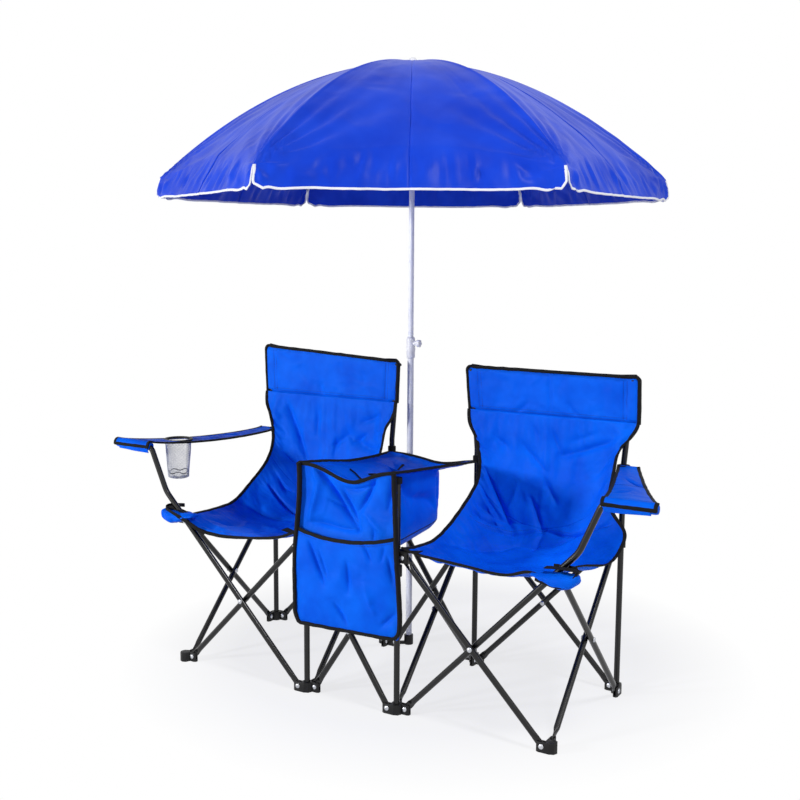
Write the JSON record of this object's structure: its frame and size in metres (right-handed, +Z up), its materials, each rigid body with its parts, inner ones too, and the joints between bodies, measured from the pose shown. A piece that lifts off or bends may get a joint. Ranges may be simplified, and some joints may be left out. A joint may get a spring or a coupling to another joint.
{
  "type": "folding camping loveseat with parasol",
  "caption": "Two folding sling chairs on scissor frames joined by a fabric table with a cooler bag, with armrests, a cup holder and a six-rib parasol that stands behind the table.",
  "frame": {"origin": "On the floor at the foot of the parasol's pole line in depth, midway between the two chairs: the bottom centre of the overall box.", "axes": "+Z up and the longest extent, +X to the right for someone facing the loveseat, +Y from its front to its back, the shortest extent."},
  "size_m": [1.652, 1.5022, 1.754],
  "materials": {
    "black_steel": "gloss black powder coat on steel tube",
    "black_plastic": "moulded black nylon",
    "blue_cloth": "bright blue woven polyester with black binding",
    "canopy_cloth": "deep blue woven polyester with a white hem",
    "white_pole": "white powder coat on steel tube",
    "white_plastic": "white moulded plastic"
  },
  "bodies": {
    "chair_base": {"post_rear_inner_left": "black_steel", "seat_cover_left": "blue_cloth", "table_and_cooler": "blue_cloth"},
    "table_rear_tube_a": {"table_rear_tube_a": "black_steel"},
    "table_rear_tube_b": {"table_rear_tube_b": "black_steel"},
    "post_rear_inner_right": {"post_rear_inner_right": "black_steel", "seat_cover_right": "blue_cloth"},
    "table_slider_rear_inner_right": {"table_slider_rear_inner_right": "black_plastic"},
    "table_slider_rear_inner_left": {"table_slider_rear_inner_left": "black_plastic"},
    "rear_left_tube_a": {"rear_left_tube_a": "black_steel"},
    "rear_left_tube_b": {"rear_left_tube_b": "black_steel"},
    "post_rear_outer_left": {"post_rear_outer_left": "black_steel"},
    "seat_slider_rear_outer_left": {"seat_slider_rear_outer_left": "black_plastic"},
    "seat_slider_rear_inner_left": {"seat_slider_rear_inner_left": "black_plastic"},
    "side_inner_left_tube_a": {"side_inner_left_tube_a": "black_steel"},
    "side_inner_left_tube_b": {"side_inner_left_tube_b": "black_steel"},
    "post_front_inner_left": {"post_front_inner_left": "black_steel"},
    "seat_slider_front_inner_left": {"seat_slider_front_inner_left": "black_plastic"},
    "arm_tube_left": {"arm_tube_left": "black_steel"},
    "front_left_tube_b": {"front_left_tube_b": "black_steel"},
    "foot_front_outer_left": {"front_foot_left": "black_plastic"},
    "corner_hub_left": {"corner_hub_left": "black_plastic"},
    "side_outer_left_tube_a": {"side_outer_left_tube_a": "black_steel"},
    "side_outer_left_tube_b": {"side_outer_left_tube_b": "black_steel"},
    "rear_right_tube_a": {"rear_right_tube_a": "black_steel"},
    "rear_right_tube_b": {"rear_right_tube_b": "black_steel"},
    "post_rear_outer_right": {"post_rear_outer_right": "black_steel"},
    "seat_slider_rear_outer_right": {"seat_slider_rear_outer_right": "black_plastic"},
    "seat_slider_rear_inner_right": {"seat_slider_rear_inner_right": "black_plastic"},
    "side_inner_right_tube_a": {"side_inner_right_tube_a": "black_steel"},
    "side_inner_right_tube_b": {"side_inner_right_tube_b": "black_steel"},
    "post_front_inner_right": {"post_front_inner_right": "black_steel"},
    "seat_slider_front_inner_right": {"seat_slider_front_inner_right": "black_plastic"},
    "arm_tube_right": {"arm_tube_right": "black_steel"},
    "front_right_tube_b": {"front_right_tube_b": "black_steel"},
    "foot_front_outer_right": {"front_foot_right": "black_plastic"},
    "corner_hub_right": {"corner_hub_right": "black_plastic"},
    "side_outer_right_tube_a": {"side_outer_right_tube_a": "black_steel"},
    "side_outer_right_tube_b": {"side_outer_right_tube_b": "black_steel"},
    "table_front_tube_a": {"table_front_tube_a": "black_steel"},
    "table_front_tube_b": {"table_front_tube_b": "black_steel"},
    "table_slider_front_inner_right": {"table_slider_front_inner_right": "black_plastic"},
    "table_slider_front_inner_left": {"table_slider_front_inner_left": "black_plastic"},
    "parasol_lower_pole": {"parasol_lower_pole": "white_pole"},
    "parasol_clamp_knob": {"parasol_clamp_knob": "white_plastic"},
    "parasol_upper_pole": {"parasol_upper_pole": "white_pole", "parasol_canopy": "canopy_cloth"},
    "parasol_rib_1": {"parasol_rib_1": "white_pole"},
    "parasol_stretcher_1": {"parasol_stretcher_1": "white_pole"},
    "parasol_runner": {"parasol_runner": "white_plastic"},
    "parasol_rib_2": {"parasol_rib_2": "white_pole"},
    "parasol_stretcher_2": {"parasol_stretcher_2": "white_pole"},
    "parasol_rib_3": {"parasol_rib_3": "white_pole"},
    "parasol_stretcher_3": {"parasol_stretcher_3": "white_pole"},
    "parasol_rib_4": {"parasol_rib_4": "white_pole"},
    "parasol_stretcher_4": {"parasol_stretcher_4": "white_pole"},
    "parasol_rib_5": {"parasol_rib_5": "white_pole"},
    "parasol_stretcher_5": {"parasol_stretcher_5": "white_pole"},
    "parasol_rib_6": {"parasol_rib_6": "white_pole"},
    "parasol_stretcher_6": {"parasol_stretcher_6": "white_pole"}
  },
  "joints": [
    {"name": "frame_fold", "type": "hinge", "parent": "chair_base", "child": "table_rear_tube_a", "pos_m": [-0.122, -0.0395, 0.015], "axis": [0, -1, 0], "range_deg": [0, 26.83], "deforming": ["seat_cover_left", "seat_cover_right", "table_and_cooler"]},
    {"name": "table_rear_cross", "type": "hinge", "parent": "table_rear_tube_a", "child": "table_rear_tube_b", "pos_m": [0, -0.0395, 0.201], "axis": [0, 1, 0], "range_deg": [0, 53.7]},
    {"name": "post_rear_inner_right_swing", "type": "hinge", "parent": "table_rear_tube_b", "child": "post_rear_inner_right", "pos_m": [0.122, -0.0225, 0.015], "axis": [0, -1, 0], "range_deg": [0, 26.88]},
    {"name": "table_slider_rear_inner_right_pivot", "type": "hinge", "parent": "table_rear_tube_a", "child": "table_slider_rear_inner_right", "pos_m": [0.122, -0.0395, 0.387], "axis": [0, 1, 0], "range_deg": [0, 26.88]},
    {"name": "table_slider_rear_inner_left_pivot", "type": "hinge", "parent": "table_rear_tube_b", "child": "table_slider_rear_inner_left", "pos_m": [-0.122, -0.0225, 0.387], "axis": [0, -1, 0], "range_deg": [0, 26.88]},
    {"name": "rear_left_tube_a_foot", "type": "hinge", "parent": "chair_base", "child": "rear_left_tube_a", "pos_m": [-0.166, -0.0395, 0.015], "axis": [0, 1, 0], "range_deg": [0, 38.99]},
    {"name": "rear_left_cross", "type": "hinge", "parent": "rear_left_tube_a", "child": "rear_left_tube_b", "pos_m": [-0.3645, -0.0395, 0.221], "axis": [0, -1, 0], "range_deg": [0, 77.93]},
    {"name": "post_rear_outer_left_swing", "type": "hinge", "parent": "rear_left_tube_b", "child": "post_rear_outer_left", "pos_m": [-0.563, -0.0225, 0.015], "axis": [0, 1, 0], "range_deg": [0, 38.99]},
    {"name": "seat_slider_rear_outer_left_pivot", "type": "hinge", "parent": "rear_left_tube_a", "child": "seat_slider_rear_outer_left", "pos_m": [-0.563, -0.0395, 0.427], "axis": [0, -1, 0], "range_deg": [0, 38.99]},
    {"name": "seat_slider_rear_inner_left_pivot", "type": "hinge", "parent": "rear_left_tube_b", "child": "seat_slider_rear_inner_left", "pos_m": [-0.166, -0.0225, 0.427], "axis": [0, 1, 0], "range_deg": [0, 38.99]},
    {"name": "side_inner_left_tube_a_foot", "type": "hinge", "parent": "chair_base", "child": "side_inner_left_tube_a", "pos_m": [-0.1525, -0.053, 0.015], "axis": [-1, 0, 0], "range_deg": [0, 38.99]},
    {"name": "side_inner_left_cross", "type": "hinge", "parent": "side_inner_left_tube_a", "child": "side_inner_left_tube_b", "pos_m": [-0.1525, -0.2515, 0.221], "axis": [1, 0, 0], "range_deg": [0, 77.93]},
    {"name": "post_front_inner_left_swing", "type": "hinge", "parent": "side_inner_left_tube_b", "child": "post_front_inner_left", "pos_m": [-0.1355, -0.45, 0.015], "axis": [-1, 0, 0], "range_deg": [0, 38.99]},
    {"name": "seat_slider_front_inner_left_pivot", "type": "hinge", "parent": "side_inner_left_tube_a", "child": "seat_slider_front_inner_left", "pos_m": [-0.1525, -0.45, 0.427], "axis": [1, 0, 0], "range_deg": [0, 38.99]},
    {"name": "arm_tube_left_foot", "type": "hinge", "parent": "post_front_inner_left", "child": "arm_tube_left", "pos_m": [-0.166, -0.4805, 0.015], "axis": [0, 1, 0], "range_deg": [0, 38.99]},
    {"name": "front_left_cross", "type": "hinge", "parent": "arm_tube_left", "child": "front_left_tube_b", "pos_m": [-0.3645, -0.4805, 0.221], "axis": [0, -1, 0], "range_deg": [0, 77.93]},
    {"name": "front_foot_left_swing", "type": "hinge", "parent": "front_left_tube_b", "child": "foot_front_outer_left", "pos_m": [-0.563, -0.4635, 0.015], "axis": [0, 1, 0], "range_deg": [0, 38.99]},
    {"name": "corner_hub_left_pivot", "type": "hinge", "parent": "arm_tube_left", "child": "corner_hub_left", "pos_m": [-0.563, -0.4805, 0.427], "axis": [0, -1, 0], "range_deg": [0, 38.99]},
    {"name": "side_outer_left_tube_a_foot", "type": "hinge", "parent": "post_rear_outer_left", "child": "side_outer_left_tube_a", "pos_m": [-0.5935, -0.053, 0.015], "axis": [-1, 0, 0], "range_deg": [0, 38.99]},
    {"name": "side_outer_left_cross", "type": "hinge", "parent": "side_outer_left_tube_a", "child": "side_outer_left_tube_b", "pos_m": [-0.5935, -0.2515, 0.221], "axis": [1, 0, 0], "range_deg": [0, 77.93]},
    {"name": "rear_right_tube_a_foot", "type": "hinge", "parent": "post_rear_inner_right", "child": "rear_right_tube_a", "pos_m": [0.166, -0.0395, 0.015], "axis": [0, -1, 0], "range_deg": [0, 38.99]},
    {"name": "rear_right_cross", "type": "hinge", "parent": "rear_right_tube_a", "child": "rear_right_tube_b", "pos_m": [0.3645, -0.0395, 0.221], "axis": [0, 1, 0], "range_deg": [0, 77.93]},
    {"name": "post_rear_outer_right_swing", "type": "hinge", "parent": "rear_right_tube_b", "child": "post_rear_outer_right", "pos_m": [0.563, -0.0225, 0.015], "axis": [0, -1, 0], "range_deg": [0, 38.99]},
    {"name": "seat_slider_rear_outer_right_pivot", "type": "hinge", "parent": "rear_right_tube_a", "child": "seat_slider_rear_outer_right", "pos_m": [0.563, -0.0395, 0.427], "axis": [0, 1, 0], "range_deg": [0, 38.99]},
    {"name": "seat_slider_rear_inner_right_pivot", "type": "hinge", "parent": "rear_right_tube_b", "child": "seat_slider_rear_inner_right", "pos_m": [0.166, -0.0225, 0.427], "axis": [0, -1, 0], "range_deg": [0, 38.99]},
    {"name": "side_inner_right_tube_a_foot", "type": "hinge", "parent": "post_rear_inner_right", "child": "side_inner_right_tube_a", "pos_m": [0.1525, -0.053, 0.015], "axis": [-1, 0, 0], "range_deg": [0, 38.99]},
    {"name": "side_inner_right_cross", "type": "hinge", "parent": "side_inner_right_tube_a", "child": "side_inner_right_tube_b", "pos_m": [0.1525, -0.2515, 0.221], "axis": [1, 0, 0], "range_deg": [0, 77.93]},
    {"name": "post_front_inner_right_swing", "type": "hinge", "parent": "side_inner_right_tube_b", "child": "post_front_inner_right", "pos_m": [0.1355, -0.45, 0.015], "axis": [-1, 0, 0], "range_deg": [0, 38.99]},
    {"name": "seat_slider_front_inner_right_pivot", "type": "hinge", "parent": "side_inner_right_tube_a", "child": "seat_slider_front_inner_right", "pos_m": [0.1525, -0.45, 0.427], "axis": [1, 0, 0], "range_deg": [0, 38.99]},
    {"name": "arm_tube_right_foot", "type": "hinge", "parent": "post_front_inner_right", "child": "arm_tube_right", "pos_m": [0.166, -0.4635, 0.015], "axis": [0, -1, 0], "range_deg": [0, 38.99]},
    {"name": "front_right_cross", "type": "hinge", "parent": "arm_tube_right", "child": "front_right_tube_b", "pos_m": [0.3645, -0.4635, 0.221], "axis": [0, 1, 0], "range_deg": [0, 77.93]},
    {"name": "front_foot_right_swing", "type": "hinge", "parent": "front_right_tube_b", "child": "foot_front_outer_right", "pos_m": [0.563, -0.4805, 0.015], "axis": [0, -1, 0], "range_deg": [0, 38.99]},
    {"name": "corner_hub_right_pivot", "type": "hinge", "parent": "arm_tube_right", "child": "corner_hub_right", "pos_m": [0.563, -0.4635, 0.427], "axis": [0, 1, 0], "range_deg": [0, 38.99]},
    {"name": "side_outer_right_tube_a_foot", "type": "hinge", "parent": "post_rear_outer_right", "child": "side_outer_right_tube_a", "pos_m": [0.5935, -0.053, 0.015], "axis": [-1, 0, 0], "range_deg": [0, 38.99]},
    {"name": "side_outer_right_cross", "type": "hinge", "parent": "side_outer_right_tube_a", "child": "side_outer_right_tube_b", "pos_m": [0.5935, -0.2515, 0.221], "axis": [1, 0, 0], "range_deg": [0, 77.93]},
    {"name": "table_front_tube_a_foot", "type": "hinge", "parent": "post_front_inner_left", "child": "table_front_tube_a", "pos_m": [-0.122, -0.4635, 0.015], "axis": [0, -1, 0], "range_deg": [0, 26.88]},
    {"name": "table_front_cross", "type": "hinge", "parent": "table_front_tube_a", "child": "table_front_tube_b", "pos_m": [0, -0.4635, 0.201], "axis": [0, 1, 0], "range_deg": [0, 53.7]},
    {"name": "table_slider_front_inner_right_pivot", "type": "hinge", "parent": "table_front_tube_a", "child": "table_slider_front_inner_right", "pos_m": [0.122, -0.4635, 0.387], "axis": [0, 1, 0], "range_deg": [0, 26.88]},
    {"name": "table_slider_front_inner_left_pivot", "type": "hinge", "parent": "table_front_tube_b", "child": "table_slider_front_inner_left", "pos_m": [-0.122, -0.4805, 0.387], "axis": [0, -1, 0], "range_deg": [0, 26.88]},
    {"name": "parasol_lift_out", "type": "slide", "parent": "chair_base", "child": "parasol_lower_pole", "axis": [0, 0, 1], "range_m": [0, 0.1]},
    {"name": "parasol_height", "type": "slide", "parent": "parasol_lower_pole", "child": "parasol_upper_pole", "axis": [0, 0, 1], "range_m": [0, 0.12]},
    {"name": "clamp_knob_turn", "type": "hinge", "parent": "parasol_lower_pole", "child": "parasol_clamp_knob", "pos_m": [-0.078, 0, 0.93], "axis": [1, 0, 0], "range_deg": [0, 360]},
    {"name": "parasol_close", "type": "hinge", "parent": "parasol_upper_pole", "child": "parasol_rib_1", "pos_m": [-0.099, -0.014, 1.73058], "axis": [1, 0, 0], "range_deg": [0, 65.34], "deforming": ["parasol_canopy"]},
    {"name": "parasol_stretcher_1_hinge", "type": "hinge", "parent": "parasol_rib_1", "child": "parasol_stretcher_1", "pos_m": [-0.099, -0.34793, 1.6529], "axis": [-1, 0, 0], "range_deg": [0, 130.78]},
    {"name": "parasol_runner_carry", "type": "hinge", "parent": "parasol_stretcher_1", "child": "parasol_runner", "pos_m": [-0.099, -0.014, 1.57521], "axis": [1, 0, 0], "range_deg": [0, 65.39]},
    {"name": "parasol_rib_2_hinge", "type": "hinge", "parent": "parasol_upper_pole", "child": "parasol_rib_2", "pos_m": [-0.08688, -0.007, 1.73058], "axis": [0.5, 0.866, 0], "range_deg": [0, 65.39]},
    {"name": "parasol_stretcher_2_hinge", "type": "hinge", "parent": "parasol_rib_2", "child": "parasol_stretcher_2", "pos_m": [0.20232, -0.17397, 1.6529], "axis": [-0.5, -0.866, 0], "range_deg": [0, 130.78]},
    {"name": "parasol_rib_3_hinge", "type": "hinge", "parent": "parasol_upper_pole", "child": "parasol_rib_3", "pos_m": [-0.08688, 0.007, 1.73058], "axis": [-0.5, 0.866, 0], "range_deg": [0, 65.39]},
    {"name": "parasol_stretcher_3_hinge", "type": "hinge", "parent": "parasol_rib_3", "child": "parasol_stretcher_3", "pos_m": [0.20232, 0.17397, 1.6529], "axis": [0.5, -0.866, 0], "range_deg": [0, 130.78]},
    {"name": "parasol_rib_4_hinge", "type": "hinge", "parent": "parasol_upper_pole", "child": "parasol_rib_4", "pos_m": [-0.099, 0.014, 1.73058], "axis": [-1, 0, 0], "range_deg": [0, 65.39]},
    {"name": "parasol_stretcher_4_hinge", "type": "hinge", "parent": "parasol_rib_4", "child": "parasol_stretcher_4", "pos_m": [-0.099, 0.34793, 1.6529], "axis": [1, 0, 0], "range_deg": [0, 130.78]},
    {"name": "parasol_rib_5_hinge", "type": "hinge", "parent": "parasol_upper_pole", "child": "parasol_rib_5", "pos_m": [-0.11112, 0.007, 1.73058], "axis": [-0.5, -0.866, 0], "range_deg": [0, 65.39]},
    {"name": "parasol_stretcher_5_hinge", "type": "hinge", "parent": "parasol_rib_5", "child": "parasol_stretcher_5", "pos_m": [-0.40032, 0.17397, 1.6529], "axis": [0.5, 0.866, 0], "range_deg": [0, 130.78]},
    {"name": "parasol_rib_6_hinge", "type": "hinge", "parent": "parasol_upper_pole", "child": "parasol_rib_6", "pos_m": [-0.11112, -0.007, 1.73058], "axis": [0.5, -0.866, 0], "range_deg": [0, 65.39]},
    {"name": "parasol_stretcher_6_hinge", "type": "hinge", "parent": "parasol_rib_6", "child": "parasol_stretcher_6", "pos_m": [-0.40032, -0.17397, 1.6529], "axis": [-0.5, 0.866, 0], "range_deg": [0, 130.78]}
  ],
  "couplings": [
    {"joint": "table_rear_cross", "follows": "frame_fold", "ratio": 2},
    {"joint": "post_rear_inner_right_swing", "follows": "frame_fold", "ratio": 1},
    {"joint": "table_slider_rear_inner_right_pivot", "follows": "frame_fold", "ratio": 1},
    {"joint": "table_slider_rear_inner_left_pivot", "follows": "frame_fold", "ratio": 1},
    {"joint": "rear_left_tube_a_foot", "follows": "frame_fold", "ratio": 1.4515},
    {"joint": "rear_left_cross", "follows": "frame_fold", "ratio": 2.903},
    {"joint": "post_rear_outer_left_swing", "follows": "frame_fold", "ratio": 1.4515},
    {"joint": "seat_slider_rear_outer_left_pivot", "follows": "frame_fold", "ratio": 1.4515},
    {"joint": "seat_slider_rear_inner_left_pivot", "follows": "frame_fold", "ratio": 1.4515},
    {"joint": "side_inner_left_tube_a_foot", "follows": "frame_fold", "ratio": 1.4515},
    {"joint": "side_inner_left_cross", "follows": "frame_fold", "ratio": 2.903},
    {"joint": "post_front_inner_left_swing", "follows": "frame_fold", "ratio": 1.4515},
    {"joint": "seat_slider_front_inner_left_pivot", "follows": "frame_fold", "ratio": 1.4515},
    {"joint": "arm_tube_left_foot", "follows": "frame_fold", "ratio": 1.4515},
    {"joint": "front_left_cross", "follows": "frame_fold", "ratio": 2.903},
    {"joint": "front_foot_left_swing", "follows": "frame_fold", "ratio": 1.4515},
    {"joint": "corner_hub_left_pivot", "follows": "frame_fold", "ratio": 1.4515},
    {"joint": "side_outer_left_tube_a_foot", "follows": "frame_fold", "ratio": 1.4515},
    {"joint": "side_outer_left_cross", "follows": "frame_fold", "ratio": 2.903},
    {"joint": "rear_right_tube_a_foot", "follows": "frame_fold", "ratio": 1.4515},
    {"joint": "rear_right_cross", "follows": "frame_fold", "ratio": 2.903},
    {"joint": "post_rear_outer_right_swing", "follows": "frame_fold", "ratio": 1.4515},
    {"joint": "seat_slider_rear_outer_right_pivot", "follows": "frame_fold", "ratio": 1.4515},
    {"joint": "seat_slider_rear_inner_right_pivot", "follows": "frame_fold", "ratio": 1.4515},
    {"joint": "side_inner_right_tube_a_foot", "follows": "frame_fold", "ratio": 1.4515},
    {"joint": "side_inner_right_cross", "follows": "frame_fold", "ratio": 2.903},
    {"joint": "post_front_inner_right_swing", "follows": "frame_fold", "ratio": 1.4515},
    {"joint": "seat_slider_front_inner_right_pivot", "follows": "frame_fold", "ratio": 1.4515},
    {"joint": "arm_tube_right_foot", "follows": "frame_fold", "ratio": 1.4515},
    {"joint": "front_right_cross", "follows": "frame_fold", "ratio": 2.903},
    {"joint": "front_foot_right_swing", "follows": "frame_fold", "ratio": 1.4515},
    {"joint": "corner_hub_right_pivot", "follows": "frame_fold", "ratio": 1.4515},
    {"joint": "side_outer_right_tube_a_foot", "follows": "frame_fold", "ratio": 1.4515},
    {"joint": "side_outer_right_cross", "follows": "frame_fold", "ratio": 2.903},
    {"joint": "table_front_tube_a_foot", "follows": "frame_fold", "ratio": 1},
    {"joint": "table_front_cross", "follows": "frame_fold", "ratio": 2},
    {"joint": "table_slider_front_inner_right_pivot", "follows": "frame_fold", "ratio": 1},
    {"joint": "table_slider_front_inner_left_pivot", "follows": "frame_fold", "ratio": 1},
    {"joint": "parasol_stretcher_1_hinge", "follows": "parasol_close", "ratio": 2},
    {"joint": "parasol_runner_carry", "follows": "parasol_close", "ratio": 1},
    {"joint": "parasol_rib_2_hinge", "follows": "parasol_close", "ratio": 1},
    {"joint": "parasol_stretcher_2_hinge", "follows": "parasol_close", "ratio": 2},
    {"joint": "parasol_rib_3_hinge", "follows": "parasol_close", "ratio": 1},
    {"joint": "parasol_stretcher_3_hinge", "follows": "parasol_close", "ratio": 2},
    {"joint": "parasol_rib_4_hinge", "follows": "parasol_close", "ratio": 1},
    {"joint": "parasol_stretcher_4_hinge", "follows": "parasol_close", "ratio": 2},
    {"joint": "parasol_rib_5_hinge", "follows": "parasol_close", "ratio": 1},
    {"joint": "parasol_stretcher_5_hinge", "follows": "parasol_close", "ratio": 2},
    {"joint": "parasol_rib_6_hinge", "follows": "parasol_close", "ratio": 1},
    {"joint": "parasol_stretcher_6_hinge", "follows": "parasol_close", "ratio": 2}
  ]
}
